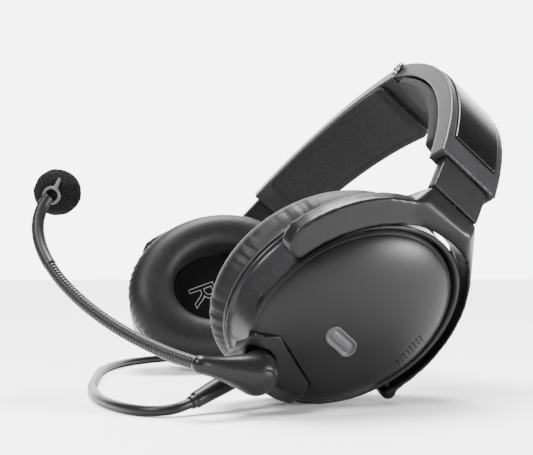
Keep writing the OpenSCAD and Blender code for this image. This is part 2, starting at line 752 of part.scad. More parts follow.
anc_board(-1);  // right_anc_board
ear_mic(1);  // left_ear_mic
ear_mic(-1);  // right_ear_mic
baffle_screws(1);  // left_baffle_screws
baffle_screws(-1);  // right_baffle_screws
cushion_ring(1);  // left_cushion_ring
cushion_ring(-1);  // right_cushion_ring
ear_cushion(1);  // left_ear_cushion
ear_cushion(-1);  // right_ear_cushion
scrim(1);  // left_scrim
scrim(-1);  // right_scrim
boom_module();
right_module_blank();
boom_hub();
boom_axle();
gooseneck_lower();
gooseneck_upper();
mic_capsule();
mic_clip();
windscreen();
cord_strain_relief();
cord_run();
cord_coil();
cord_tail();
control_module();
battery_door();
volume_wheel(1);  // left_volume_wheel
volume_wheel(-1);  // right_volume_wheel
power_button();
plug_leads();
phone_plug();
mic_plug();
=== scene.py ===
import json
import math

import bmesh
import bpy
from mathutils import Matrix, Vector, noise


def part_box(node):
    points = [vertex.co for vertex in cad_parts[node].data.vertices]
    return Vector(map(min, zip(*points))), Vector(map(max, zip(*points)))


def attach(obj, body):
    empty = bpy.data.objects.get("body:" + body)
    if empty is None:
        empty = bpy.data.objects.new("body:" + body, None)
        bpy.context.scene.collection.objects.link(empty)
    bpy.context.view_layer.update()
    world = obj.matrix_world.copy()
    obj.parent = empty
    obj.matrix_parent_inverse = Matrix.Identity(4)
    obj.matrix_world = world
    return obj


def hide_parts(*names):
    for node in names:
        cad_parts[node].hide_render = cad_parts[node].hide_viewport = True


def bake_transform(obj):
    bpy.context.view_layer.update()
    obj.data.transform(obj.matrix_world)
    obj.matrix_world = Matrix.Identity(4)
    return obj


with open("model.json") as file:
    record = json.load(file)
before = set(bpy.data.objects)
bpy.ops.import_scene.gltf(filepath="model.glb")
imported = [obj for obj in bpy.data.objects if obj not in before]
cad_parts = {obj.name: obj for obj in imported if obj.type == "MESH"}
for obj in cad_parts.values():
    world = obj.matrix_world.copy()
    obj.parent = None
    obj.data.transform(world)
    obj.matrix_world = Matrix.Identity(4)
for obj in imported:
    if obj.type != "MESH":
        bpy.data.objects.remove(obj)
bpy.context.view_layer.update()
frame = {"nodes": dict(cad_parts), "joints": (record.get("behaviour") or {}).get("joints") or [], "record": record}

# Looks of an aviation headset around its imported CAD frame.
# Lengths are in metres, and MM turns millimetres into metres.
MM = 0.001
NODES = frame["nodes"]
JOINTS = {joint["name"]: joint for joint in frame["joints"]}
SLOTS = {part["node"]: part["material_slot"] for part in frame["record"]["subparts"]}
SIDES = ("left", "right")
MIRROR = Matrix.Scale(-1, 4, Vector((1, 0, 0)))

# ---------- camera ----------
CAMERA_AT = Vector((0.4390, -0.1636, 0.0513))
CAMERA_AHEAD = Vector((-0.9335, 0.355, 0.0508))
LENS = 65.15


def add_camera():
    data = bpy.data.cameras.new("camera")
    data.lens = LENS
    data.sensor_width = 36
    data.clip_start = 0.01
    camera = bpy.data.objects.new("camera", data)
    camera.location = CAMERA_AT
    camera.rotation_euler = CAMERA_AHEAD.to_track_quat("-Z", "Y").to_euler()
    bpy.context.scene.collection.objects.link(camera)
    bpy.context.scene.camera = camera


add_camera()

# ---------- sizes taken from the design, in millimetres and degrees ----------
# Cup: half widths across and along, then places and sizes on it
FORK_LEAN = 20
PIVOT = (17.3, -4.5)
RIM = (39.7, 49.5)
CUSHION = (42, 52)
CUSHION_T = 19
EAR = (21, 27)
CAP = (34.9, 43.6)
CAP_SHIFT = (-1.6, -2.7)
CAP_EDGE = 21.4
DOME_H = 8
PORT_AT = (1, -12.9)
PORT_TURN = 33
PORT_SIZE = (17, 8)
VENT_AT = (19.1, 17.5)
VENT_TURN = 121
VENT_PITCH = 1.9
VENT_ROWS = (-1, 0, 1)
VENT_COLUMNS = 8
VENT_R = 0.45
SLOT_AT = (17.3, -21.7, -37.9)
SLOT_SIZE = (1.9, 1.6, 5)
SLOT_TURN = 47
MODULE_PLAN = ((-24, -64), (-12.5, -45), (-9, -35.5), (16, -27), (26, -33), (34, -64))
# Two points of the flank's edge and one far outside, which span its plane, and one on the side that goes
TRIM_PLANE = ((20.6, -10.8, -44.6), (8, 5, -54.8), (370, -127, -89), (6, -12, -38))
MARK_AT = (-0.5, -9)
MARK_DEPTH = -1.6
MARK_SIZE = 22
# Fork and band
FORK_OUT = (46, 53)
FORK_SHIFT = (-4.5, -1)
RIB_ANGLES = range(84, 140, 2)
RIB_SECTION = ((8.5, -0.4), (8.5, -2.6), (17, -2.6), (17, -0.4))
BAND_R = 144
BAND_T = 8.2
BAND_W = (38, 28.4)
BAND_START = 7
PAD_T = 6.5
PAD_ANGLES = (34, 78)
PAD_CORNER = 4.5
SEAM_IN = 4.2
SEAM_DEPTH = 0.45
HINGE_DROP = 135.9
HINGE_BACK = 5.5
# Boom, in the cup's and then the head's directions
HUB = (29.2, 0.9, -48.3)
HUB_R = 8.4
HUB_FOOT = (24.6, 0.5, -47.3)
FOOT_R = (7.2, 7.6)
FOOT_T = 5
ARM_TIP = (29.9, -12.4, -68.6)
ARM_TIP_R = 3.3
NECK_CURVE = ((106, -36, -58.5), (48, -61, -69), (10, -109, -62), (5, -109.8, -31.5))
NECK_SPLIT = 10 / 24
NECK_D = 4.8
NECK_STEPS = 400
COIL_PITCH = 1.75
COIL_STEPS = 8
SLEEVE_FROM = 0.72
SLEEVE_T = 0.3
CLIP_AT = (5.5, -109.4, -30)
PRONG_FROM = (5.8, -110, -26.8)
PRONG_TIP = (5.9, -111.4, -21.7)
FOAM_D = 21
# Cord
CORD_D = 4
LEAD_D = 3.6
RELIEF_ENDS = ((86, -40, 14), (93, -62, 4.6))
RELIEF_R = (4.2, 3.0)


# ---------- places ----------
class Place:
    """An origin with three square directions; at() takes millimetres."""

    def __init__(self, origin, x, y):
        self.origin = Vector(origin)
        self.x = Vector(x).normalized()
        self.y = Vector(y).normalized()
        self.z = self.x.cross(self.y)

    def at(self, x, y, z):
        return self.origin + (self.x * x + self.y * y + self.z * z) * MM

    def matrix(self):
        turn = Matrix((self.x, self.y, self.z)).transposed().to_4x4()
        return Matrix.Translation(self.origin) @ turn


def cup_place():
    """The left cup: X out of the ear, Y to the back, Z up the long axis."""
    out = Vector(JOINTS["boom_swing"]["axis"])
    tilt = JOINTS["left_cup_tilt"]
    fork_y = Vector(tilt["axis"])
    fork_z = out.cross(fork_y)
    origin = Vector(tilt["pos_m"]) - (out * PIVOT[0] + fork_z * PIVOT[1]) * MM
    return Place(origin, out, Matrix.Rotation(-math.radians(FORK_LEAN), 3, out) @ fork_y)


def head_place():
    """The head frame: X to the wearer's left, Y to the back, Z up the head."""
    hinge = JOINTS["band_hinge"]
    back = Vector(JOINTS["left_slider_slide"]["axis"])
    place = Place(hinge["pos_m"], (1, 0, 0), back)
    place.origin = place.at(0, -HINGE_BACK, -HINGE_DROP)
    return place


def arc_place():
    """The centre of the left band half's arc."""
    slide = JOINTS["left_slider_slide"]
    return Place(slide["pos_m"], (1, 0, 0), slide["axis"])


CUP = cup_place()
HEAD = head_place()
ARC = arc_place()


# ---------- mesh helpers ----------
def link(obj):
    bpy.context.scene.collection.objects.link(obj)
    return obj


def mesh_object(name, points, faces):
    mesh = bpy.data.meshes.new(name)
    mesh.from_pydata([tuple(p) for p in points], [], faces)
    shape = bmesh.new()
    shape.from_mesh(mesh)
    bmesh.ops.recalc_face_normals(shape, faces=shape.faces)
    shape.to_mesh(mesh)
    shape.free()
    return link(bpy.data.objects.new(name, mesh))


def skin(name, rings, loop=False):
    """A closed skin through rings of points. With loop the last ring joins the first."""
    n = len(rings[0])
    m = len(rings)
    faces = []
    for i in range(m if loop else m - 1):
        for k in range(n):
            a, b = i * n, (i + 1) % m * n
            faces.append((a + k, a + (k + 1) % n, b + (k + 1) % n, b + k))
    if not loop:
        faces.append(tuple(range(n)))
        faces.append(tuple(range((m - 1) * n, m * n)))
    return mesh_object(name, [p for ring in rings for p in ring], faces)


def bake(obj):
    """Applies the object's modifiers to its mesh."""
    graph = bpy.context.evaluated_depsgraph_get()
    mesh = bpy.data.meshes.new_from_object(obj.evaluated_get(graph))
    obj.modifiers.clear()
    obj.data = mesh
    return obj


def copy_of(node, name):
    mesh = NODES[node].data.copy()
    mesh.materials.clear()
    shape = bmesh.new()
    shape.from_mesh(mesh)
    bmesh.ops.remove_doubles(shape, verts=shape.verts, dist=0.01 * MM)
    bmesh.ops.dissolve_limit(shape, angle_limit=math.radians(0.5), verts=shape.verts, edges=shape.edges)
    shape.to_mesh(mesh)
    shape.free()
    return link(bpy.data.objects.new(name, mesh))


def rounded(obj, voxel, passes):
    """Joins the shells of a mesh into one skin and rounds its edges over."""
    remesh = obj.modifiers.new("remesh", "REMESH")
    remesh.mode = "VOXEL"
    remesh.voxel_size = voxel * MM
    relax = obj.modifiers.new("relax", "SMOOTH")
    relax.iterations = passes
    return bake(obj)


def softened(node, name, voxel, passes):
    """A copy of a CAD node with its edges rounded over, as a moulding has them."""
    return rounded(copy_of(node, name), voxel, passes)


def bevelled(node, name, width):
    """A copy of a CAD node with a small round on each sharp edge."""
    obj = copy_of(node, name)
    bevel = obj.modifiers.new("bevel", "BEVEL")
    bevel.width = width * MM
    bevel.segments = 3
    bevel.limit_method = "ANGLE"
    bevel.angle_limit = math.radians(35)
    bevel.harden_normals = True
    smooth(obj.data)
    return bake(obj)


def cut(obj, cutter):
    boolean = obj.modifiers.new("cut", "BOOLEAN")
    boolean.operation = "DIFFERENCE"
    boolean.solver = "EXACT"
    boolean.object = cutter
    bake(obj)
    bpy.data.objects.remove(cutter, do_unlink=True)
    return obj


def smooth(mesh):
    mesh.polygons.foreach_set("use_smooth", [True] * len(mesh.polygons))


def flip(mesh):
    """Moves a mesh to the wearer's other side."""
    mesh.transform(MIRROR)
    mesh.flip_normals()


def mirrored(source, name):
    """The same piece on the wearer's right side."""
    mesh = source.data.copy()
    flip(mesh)
    return link(bpy.data.objects.new(name, mesh))


def piece(obj, material, body, *nodes, slot=None):
    """Finishes a piece: material, smooth faces, the body it rides on and the CAD nodes it stands for."""
    obj.data.materials.clear()
    obj.data.materials.append(material)
    if obj.type == "MESH":
        smooth(obj.data)
    if body:
        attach(obj, body)
    if nodes:
        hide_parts(*nodes)
    return obj


def pair(left, material, body, node):
    """A left piece and its mirror image on the right."""
    right = mirrored(left, left.name.replace("left", "right"))
    for side, obj in zip(SIDES, (left, right)):
        piece(obj, material, f"{side}_{body}", f"{side}_{node}")
    return left, right


# ---------- materials ----------
class Surface:
    """A procedural material, built up from its base shader."""

    def __init__(self, name, colour, roughness, metallic=0.0, **fixed):
        self.material = bpy.data.materials.new(name)
        self.material.use_nodes = True
        self.tree = self.material.node_tree
        self.shader = self.tree.nodes["Principled BSDF"]
        self.colour = (*colour, 1)
        self.shader.inputs["Base Color"].default_value = self.colour
        self.shader.inputs["Roughness"].default_value = roughness
        self.shader.inputs["Metallic"].default_value = metallic
        for key, value in fixed.items():
            self.shader.inputs[key.replace("_", " ")].default_value = value
        self.place = self.tree.nodes.new("ShaderNodeTexCoord").outputs["Object"]
        self.bump = None

    def noise(self, scale, detail=3, rough=0.5):
        node = self.tree.nodes.new("ShaderNodeTexNoise")
        node.inputs["Scale"].default_value = scale
        node.inputs["Detail"].default_value = detail
        node.inputs["Roughness"].default_value = rough
        self.tree.links.new(self.place, node.inputs["Vector"])
        return node.outputs["Fac"]

    def cells(self, scale):
        node = self.tree.nodes.new("ShaderNodeTexVoronoi")
        node.feature = "F1"
        node.inputs["Scale"].default_value = scale
        self.tree.links.new(self.place, node.inputs["Vector"])
        return node.outputs["Distance"]

    def vary_colour(self, source, darker, lighter, low=0.3, high=0.7):
        ramp = self.tree.nodes.new("ShaderNodeValToRGB")
        ramp.color_ramp.elements[0].position = low
        ramp.color_ramp.elements[1].position = high
        ramp.color_ramp.elements[0].color = [c * darker for c in self.colour[:3]] + [1]
        ramp.color_ramp.elements[1].color = [c * lighter for c in self.colour[:3]] + [1]
        self.tree.links.new(source, ramp.inputs["Fac"])
        self.tree.links.new(ramp.outputs["Color"], self.shader.inputs["Base Color"])

    def vary_roughness(self, source, low, high):
        node = self.tree.nodes.new("ShaderNodeMapRange")
        node.inputs["To Min"].default_value = low
        node.inputs["To Max"].default_value = high
        self.tree.links.new(source, node.inputs["Value"])
        self.tree.links.new(node.outputs["Result"], self.shader.inputs["Roughness"])

    def relief(self, source, depth):
        """Adds a bump of this depth in millimetres."""
        node = self.tree.nodes.new("ShaderNodeBump")
        node.inputs["Distance"].default_value = depth * MM
        node.inputs["Strength"].default_value = 1
        self.tree.links.new(source, node.inputs["Height"])
        if self.bump:
            self.tree.links.new(self.bump.outputs["Normal"], node.inputs["Normal"])
        self.bump = node
        self.tree.links.new(node.outputs["Normal"], self.shader.inputs["Normal"])


def plastic(name, grey, low, high, grain=0.02, **fixed):
    """Moulded plastic with a fine spark-eroded grain and faint handling marks."""
    fixed.setdefault("Specular_IOR_Level", 0.16)
    surface = Surface(name, (grey, grey, grey * 1.04), (low + high) / 2, **fixed)
    surface.vary_colour(surface.noise(90), 0.9, 1.1)
    surface.vary_roughness(surface.noise(45, 5), low, high)
    surface.relief(surface.noise(3200, 2), grain)
    return surface.material


def metal(name, grey, low, high):
    """Turned or drawn metal with fine scratches."""
    surface = Surface(name, (grey, grey, grey), (low + high) / 2, metallic=1.0)
    surface.vary_roughness(surface.noise(220, 6), low, high)
    surface.relief(surface.noise(1500, 6), 0.004)
    return surface.material


def felt(name, grey):
    surface = Surface(name, (grey, grey, grey * 1.03), 0.95, Sheen_Weight=0.03, Specular_IOR_Level=0.1)
    surface.vary_colour(surface.noise(1500, 4, 0.7), 0.45, 1.9)
    surface.relief(surface.noise(2200, 4, 0.7), 0.16)
    surface.relief(surface.noise(320, 2), 0.12)
    return surface.material


def leather(name, grey):
    surface = Surface(name, (grey, grey, grey * 1.04), 0.5, Sheen_Weight=0.01, Specular_IOR_Level=0.15)
    surface.vary_colour(surface.noise(260, 4), 0.8, 1.25)
    surface.vary_roughness(surface.noise(120, 4), 0.42, 0.6)
    surface.relief(surface.cells(1100), 0.05)
    surface.relief(surface.noise(500, 3), 0.08)
    return surface.material


def cloth(name, grey):
    surface = Surface(name, (grey, grey, grey), 0.9, Specular_IOR_Level=0.08)
    threads = surface.cells(1400)
    surface.vary_colour(threads, 1.6, 0.5, 0.1, 0.6)
    surface.relief(threads, 0.1)
    return surface.material


def foam(name, grey):
    surface = Surface(name, (grey, grey, grey), 0.95, Specular_IOR_Level=0.08)
    pores = surface.cells(1300)
    # Painted shade and light: the pores are darkened and the struts between them lightened, in step with the pore
    # bump below
    surface.vary_colour(pores, 0.3, 2.2, 0.15, 0.7)
    surface.relief(pores, 0.35)
    surface.relief(surface.noise(900, 4, 0.7), 0.2)
    return surface.material


def board(name):
    surface = Surface(name, (0.02, 0.12, 0.05), 0.4)
    surface.vary_colour(surface.cells(260), 0.6, 1.5)
    surface.relief(surface.cells(400), 0.05)
    return surface.material


BAND = plastic("band_satin", 0.018, 0.28, 0.4)
GLOSS = plastic("gloss_panel", 0.003, 0.16, 0.26, 0.003)
SLIDER = plastic("slider_satin", 0.01, 0.3, 0.4)
YOKE = plastic("yoke_satin", 0.006, 0.26, 0.36)
SHELL = plastic("shell_satin", 0.012, 0.22, 0.32, 0.01)
CAP_SKIN = plastic("cap_satin", 0.004, 0.32, 0.42)
MODULE = plastic("module_satin", 0.005, 0.32, 0.42)
BOOM = plastic("boom_satin", 0.006, 0.24, 0.34)
INNER = plastic("inner_matte", 0.01, 0.55, 0.7)
RING = plastic("ring_matte", 0.02, 0.35, 0.5)
CORD_SKIN = plastic("cord_jacket", 0.006, 0.3, 0.42, 0.01)
NECK_SKIN = plastic("neck_sleeve", 0.012, 0.28, 0.4, 0.015)
BOX = plastic("box_matte", 0.012, 0.4, 0.55, 0.03)
WHEEL = plastic("wheel_rubber", 0.02, 0.5, 0.65, 0.04)
BUTTON = plastic("button_satin", 0.1, 0.3, 0.4)
CLIP = plastic("clip_grey", 0.06, 0.22, 0.32)
PORT = plastic("port_grey", 0.045, 0.3, 0.45, 0.03)
MARK = plastic("ear_mark", 0.16, 0.5, 0.6)
STEEL = metal("steel", 0.5, 0.22, 0.36)
BLACK_STEEL = metal("black_steel", 0.04, 0.3, 0.42)
NICKEL = metal("nickel", 0.6, 0.14, 0.26)
HINGE_STEEL = metal("hinge_steel", 0.28, 0.2, 0.32)
FELT = felt("pad_felt", 0.008)
LEATHER = leather("cushion_leather", 0.004)
SCRIM = cloth("scrim_cloth", 0.002)
FOAM = foam("windscreen_foam", 0.003)
BOARD = board("circuit_board")
# Painted shade: the near-black colour of the box that stands in for the shaded inside of the vent slot
SLOT_SHADE = plastic("vent_painted_shade", 0.001, 0.8, 0.9)

DRESS = {
    "steel_pin": BLACK_STEEL, "spring_steel": BLACK_STEEL, "hinge_metal": NICKEL, "driver_metal": STEEL,
    "circuit_board": BOARD, "capsule_metal": STEEL, "inner_plastic": INNER, "scrim_fabric": SCRIM,
    "plug_metal": NICKEL, "port_mesh": PORT, "module_plastic": MODULE, "ring_plastic": RING,
}


def dress(obj, material):
    for spot in obj.material_slots:
        spot.material = material


for node, obj in NODES.items():
    if SLOTS[node] in DRESS:
        dress(obj, DRESS[SLOTS[node]])
dress(NODES["boom_axle"], BOOM)


# ---------- cords ----------
CORD_POINTS = (
    (93, -62, 4.6), (94.5, -69, 2.9), (92, -76, 2.2), (84, -82, 2.1), (68, -86, 2.1),
    (46, -87, 2.1), (22, -84.5, 2.1), (0, -81, 2.1), (-25, -75, 2.1), (-49, -69, 2.1),
    (-72, -62, 2.1), (-92, -53, 2.1), (-109, -42, 2.1), (-123, -27, 2.1), (-132, -9, 2.1),
    (-136, 11, 2.1), (-137, 30, 2.1), (-136, 48, 2.1),
)
TAIL_POINTS = (
    (-128, 69, 8), (-118, 73, 4), (-105, 76, 2.1), (-96, 84, 3),
    (-98, 92, 5.5), (-107, 94.5, 7.6), (-118.4, 97.1, 8.2),
)
COIL_AT = (-160, 60)
COIL_RADII = (24.5, 20.4, 16.3)
COIL_HEIGHTS = (2.1, 6.2, 10.2)
TURN_STEPS = 32
CROSSING = 0.25
BOX_AT = (-152, 110)
BOX_TURN = 159
BOX_LEN = 72
PLUG_AT = (-158, 152)
PLUG_GAP = 20
PLUG_Z = 8.2
PLUG_BACK = 36
LEAD_GAP = 12
LEAD_REACH = (36, 21.6)
LEAD_STEPS = 40


def through(points, steps):
    """A smooth curve through the points."""
    points = [Vector(p) for p in points]
    path = []
    for i in range(len(points) - 1):
        a = points[max(i - 1, 0)]
        b, c = points[i], points[i + 1]
        d = points[min(i + 2, len(points) - 1)]
        for k in range(steps):
            t = k / steps
            square = (2 * a - 5 * b + 4 * c - d) * t * t
            path.append(0.5 * (2 * b + (c - a) * t + square + (3 * b - a - 3 * c + d) * t * t * t))
    return path + [points[-1]]


def coil():
    """Turns side by side and one above another, from the outer low one to the outer top one."""
    low, middle, top = COIL_HEIGHTS
    turns = [Vector((r, low)) for r in COIL_RADII] + [Vector((r, middle)) for r in reversed(COIL_RADII)]
    turns.append(Vector((COIL_RADII[0], top)))
    turns.append(turns[-1])
    path = []
    for this, after in zip(turns, turns[1:]):
        for k in range(TURN_STEPS):
            t = k / TURN_STEPS
            move = max(0.0, (t - 1 + CROSSING) / CROSSING)
            radius, height = this + (after - this) * (move * move * (3 - 2 * move))
            angle = 2 * math.pi * t
            x, y = COIL_AT[0] + radius * math.cos(angle), COIL_AT[1] + radius * math.sin(angle)
            path.append(Vector((x, y, height)))
    return path


def bezier(points, t):
    a, b, c, d = (Vector(p) for p in points)
    return (1 - t) ** 3 * a + 3 * t * (1 - t) ** 2 * b + 3 * t * t * (1 - t) * c + t ** 3 * d


def length_of(path):
    return sum((b - a).length for a, b in zip(path, path[1:]))


def cord_curve(name, path, diameter):
    """A curve of one open spline along a path given in millimetres."""
    data = bpy.data.curves.new(name, "CURVE")
    data.dimensions = "3D"
    data.bevel_depth = diameter / 2 * MM
    data.bevel_resolution = 4
    data.use_fill_caps = True
    spline = data.splines.new("POLY")
    spline.points.add(len(path) - 1)
    for spot, p in zip(spline.points, path):
        spot.co = (*(p * MM), 1)
    spline.use_smooth = True
    return link(bpy.data.objects.new(name, data))


def add_cords():
    wound = coil()
    lifted = wound[0] + Vector((0, 0, COIL_HEIGHTS[2] - COIL_HEIGHTS[0]))
    run = through((*CORD_POINTS, wound[0]), 6)[:-1]
    tail = through((wound[-1], lifted, *TAIL_POINTS), 6)[1:]
    path = run + wound + tail
    lead = cord_curve("down_lead", path, CORD_D)
    piece(lead, CORD_SKIN, "left_cup", "cord_run", "cord_coil", "cord_tail")
    box = piece(bevelled("control_module", "control_box", 0.8), BOX, "left_cup", "control_module")
    turn = math.radians(BOX_TURN + 180)
    back = Vector((math.cos(turn), math.sin(turn), 0))
    side = Vector((-math.sin(turn), math.cos(turn), 0))
    for sign, plug, reach in zip((1, -1), ("phone_plug", "mic_plug"), LEAD_REACH):
        start = Vector((*BOX_AT, PLUG_Z)) - back * BOX_LEN / 2 - side * LEAD_GAP / 2 * sign
        finish = Vector((*PLUG_AT, PLUG_Z)) - back * PLUG_BACK + side * sign * PLUG_GAP / 2
        control = (start, start - back * reach, finish - back * reach, finish)
        way = [bezier(control, i / LEAD_STEPS) for i in range(LEAD_STEPS + 1)]
        obj = cord_curve(f"{plug}_lead", way, LEAD_D)
        piece(obj, CORD_SKIN, "left_cup", *(["plug_leads"] if sign > 0 else []), slot="cord_rubber")


add_cords()


# ---------- ear cups ----------
AROUND = 192
CUSHION_STEPS = 384


def ellipse_ring(d, short, long, centre=(0, 0)):
    ring = []
    for i in range(AROUND):
        a = 2 * math.pi * i / AROUND
        ring.append(CUP.at(d, centre[0] + short * math.cos(a), centre[1] + long * math.sin(a)))
    return ring


CUSHION_SECTION = (
    (0.03, -0.5), (0.02, -3), (0.0, -7), (0.01, -11), (0.05, -14.5), (0.16, -17.3), (0.32, -18.7),
    (0.5, -19), (0.67, -18.3), (0.82, -16.2), (0.93, -13), (0.99, -9.4), (1.0, -6.6), (0.97, -4),
    (0.925, -2), (0.895, -0.9), (0.88, -0.2), (0.6, -0.1), (0.3, -0.1),
)


def cushion_section():
    """The section as a smooth closed line of (share from inner to outer edge, depth)."""
    points = [Vector((s, d, 0)) for s, d in CUSHION_SECTION]
    line = through(points + [points[0]], 3)[:-1]
    return [(p.x, p.y) for p in line]


FOLDS = 61
FINE_FOLDS = 137
FOLD_DEPTH = 0.42


def clamp(value):
    return max(0.0, min(1.0, value))


def gather(angle, seed):
    """Height of the gathers along the outer seam at an angle: bunches of folds between smooth stretches."""
    spot = Vector((math.cos(angle), math.sin(angle), seed))
    wander = noise.noise(spot * 2.1) * 5
    bunch = clamp(0.25 + 2.4 * noise.noise(spot * 2.3 + Vector((9, 0, 0))))
    fold = math.sin(FOLDS * angle + wander * 2.2)
    fine = math.sin(FINE_FOLDS * angle + wander * 3)
    return (math.copysign(abs(fold) ** 0.7, fold) * 0.7 + fine * 0.3) * (0.12 + 0.88 * bunch)


def ear_cushion(side, seed):
    """A crowned ring, section by section, gathered along its outer seam."""
    rings = []
    for i in range(CUSHION_STEPS):
        a = 2 * math.pi * i / CUSHION_STEPS
        c, s = math.cos(a), math.sin(a)
        folds = gather(a, seed)
        soft = noise.noise(Vector((c * 1.6, s * 1.6, seed + 5)))
        ring = []
        for share, depth in cushion_section():
            short = EAR[0] + (CUSHION[0] - EAR[0]) * share
            long = EAR[1] + (CUSHION[1] - EAR[1]) * share
            edge = clamp((share - 0.72) / 0.2)
            # The folds fade out towards the seam and the crown, and the crown only sinks and swells
            skirt = edge * clamp((depth + 15) / 10) * clamp(-depth / 1.5)
            crown = clamp((-depth - 12) / 6)
            out = -0.3 * skirt + folds * FOLD_DEPTH * skirt + 0.35 * soft * skirt
            deep = depth + (0.55 * soft + 0.12 * folds * edge) * crown * 0.9
            ring.append(CUP.at(max(deep, -CUSHION_T - 0.3), (short + out) * c, (long + out) * s))
        rings.append(ring)
    obj = skin(f"{side}_ear_cushion_soft", rings, loop=True)
    if side == "right":
        flip(obj.data)
    piece(obj, LEATHER, f"{side}_cup", f"{side}_ear_cushion")


def shell():
    """The cup's cone, with a bright lip at its rim."""
    outer = (
        (2.4, -0.2), (2.5, 0.1), (2.9, 0.35), (3.5, 0.35), (4.0, 0.05), (4.4, -0.6), (5.2, -1.05),
        (7, -1.35), (10, -1.75), (13, -2.1), (16, -2.35), (18.4, -2.45), (19.2, -2.5), (19.4, -2.75),
    )
    rings = [ellipse_ring(d, RIM[0] + g, RIM[1] + g * 0.92) for d, g in outer]
    inner = ((19.4, -4.6), (12, -3.8), (6, -3.0), (2.4, -2.5))
    rings += [ellipse_ring(d, RIM[0] + g, RIM[1] + g) for d, g in inner]
    return skin("left_shell", rings, loop=True)


def vent_slot():
    """A near-black box in the shell beside the cap: painted shade that stands in for the shaded inside of the vent
    slot.
    """
    bpy.ops.mesh.primitive_cube_add(size=1)
    obj = bpy.context.object
    obj.name = "left_vent_slot"
    obj.data.transform(Matrix.Diagonal((*(s * MM for s in SLOT_SIZE), 1)))
    obj.data.transform(Matrix.Rotation(math.radians(SLOT_TURN), 4, "X"))
    stand = CUP.matrix()
    stand.translation = CUP.at(*SLOT_AT)
    obj.data.transform(stand)
    return obj


def prism(place, outline, d0, d1):
    """A prism along a place's X axis from an outline of (y, z) points."""
    n = len(outline)
    points = [place.at(d, y, z) for d in (d0, d1) for y, z in outline]
    faces = [tuple(range(n)), tuple(range(n, 2 * n))]
    faces += [(k, (k + 1) % n, n + (k + 1) % n, n + k) for k in range(n)]
    return mesh_object("prism", points, faces)


def pill_outline(at, turn, size):
    """A slot with round ends as (y, z) points."""
    steps = 16
    length, width = size
    r, reach = width / 2, (length - width) / 2
    c, s = math.cos(math.radians(turn)), math.sin(math.radians(turn))
    line = []
    for end in (1, -1):
        for k in range(steps + 1):
            a = math.radians(-90 + 180 * k / steps)
            u, v = end * (reach + r * math.cos(a)), end * r * math.sin(a)
            line.append((at[0] + c * u - s * v, at[1] + s * u + c * v))
    return line


def grown(outline, g):
    """The module's outline, larger by a gap."""
    centre = Vector((5, -46))
    return [tuple(Vector(p) + (Vector(p) - centre).normalized() * g) for p in outline]


def dome_height(share):
    """Height of the dome at a share of the way out from its middle."""
    return DOME_H * (1 - share ** 2.6) ** 0.75


def cap_blank(name):
    """The domed cap before anything is cut out of it."""
    rings = []
    for d, g in ((19.8, 0.5), (20.0, 0.75), (20.9, 0.8), (21.2, 0.55), (21.85, -0.35)):
        rings.append(ellipse_ring(d, CAP[0] + g, CAP[1] + g, CAP_SHIFT))
    steps = 30
    for i in range(1, steps):
        share = math.cos(math.pi / 2 * i / steps) ** 0.8
        short, long = (CAP[0] - 0.6) * share, (CAP[1] - 0.6) * share
        rings.append(ellipse_ring(CAP_EDGE + 0.35 + dome_height(share) * 0.96, short, long, CAP_SHIFT))
    return skin(name, rings)


def vent_drills():
    """Round drills for the rows of vent holes in the cap."""
    sides = 8
    c, s = math.cos(math.radians(VENT_TURN)), math.sin(math.radians(VENT_TURN))
    points, faces = [], []
    for i in range(VENT_COLUMNS):
        for row in VENT_ROWS:
            u, v = (i - (VENT_COLUMNS - 1) / 2) * VENT_PITCH, row * VENT_PITCH
            y, z = VENT_AT[0] + c * u - s * v, VENT_AT[1] + s * u + c * v
            low = len(points)
            top = low + sides
            for d in (22, 40):
                for k in range(sides):
                    a = 2 * math.pi / sides * k
                    points.append(CUP.at(d, y + VENT_R * math.cos(a), z + VENT_R * math.sin(a)))
            faces.append(tuple(range(low, top)))
            faces.append(tuple(range(top, top + sides)))
            faces += [(low + k, low + (k + 1) % sides, top + (k + 1) % sides, top + k) for k in range(sides)]
    return mesh_object("holes", points, faces)


def cap(name):
    """The cap with its port, its vent holes and its cutout for the module."""
    obj = cap_blank(name)
    cut(obj, prism(CUP, pill_outline(PORT_AT, PORT_TURN, PORT_SIZE), 25, 40))
    cut(obj, vent_drills())
    cut(obj, prism(CUP, grown(MODULE_PLAN, 0.25), 15, 45))
    return obj


def port():
    """The oval port: a raised rim round a sunk mesh with a bar down its middle."""
    profile = (
        (27, 0), (29.1, 0), (29.45, 0.25), (29.5, 0.7), (29.2, 1.1),
        (28.7, 1.3), (28.7, 2.3), (29.1, 2.6), (29.15, 3.5),
    )
    rings = []
    for d, inset in profile:
        outline = pill_outline(PORT_AT, PORT_TURN, [size - 0.2 - 2 * inset for size in PORT_SIZE])
        rings.append([CUP.at(d, y, z) for y, z in outline])
    return skin("left_port", rings)


def smooth_by_angle(obj):
    """Keeps edges sharper than 32 degrees."""
    bpy.context.view_layer.objects.active = obj
    for other in bpy.context.selected_objects:
        other.select_set(False)
    obj.select_set(True)
    bpy.ops.object.shade_smooth_by_angle(angle=math.radians(32))


def add_cups():
    for side, seed in zip(SIDES, (3, 11)):
        ear_cushion(side, seed)
    pair(shell(), SHELL, "cup", "cup_shell")
    vent = vent_slot()
    # The vent slot's shade is painted: a near-black box in place of an opening
    piece(vent, SLOT_SHADE, "left_cup", slot="shell_plastic")
    piece(mirrored(vent, "right_vent_slot"), SLOT_SHADE, "right_cup", slot="shell_plastic")
    for obj in pair(cap("left_cap"), CAP_SKIN, "cup", "cup_cap"):
        smooth_by_angle(obj)
    pair(port(), PORT, "cup", "port_mesh")
    blank = softened("right_module_blank", "right_blank", 0.5, 4)
    piece(blank, MODULE, "right_cup", "right_module_blank")


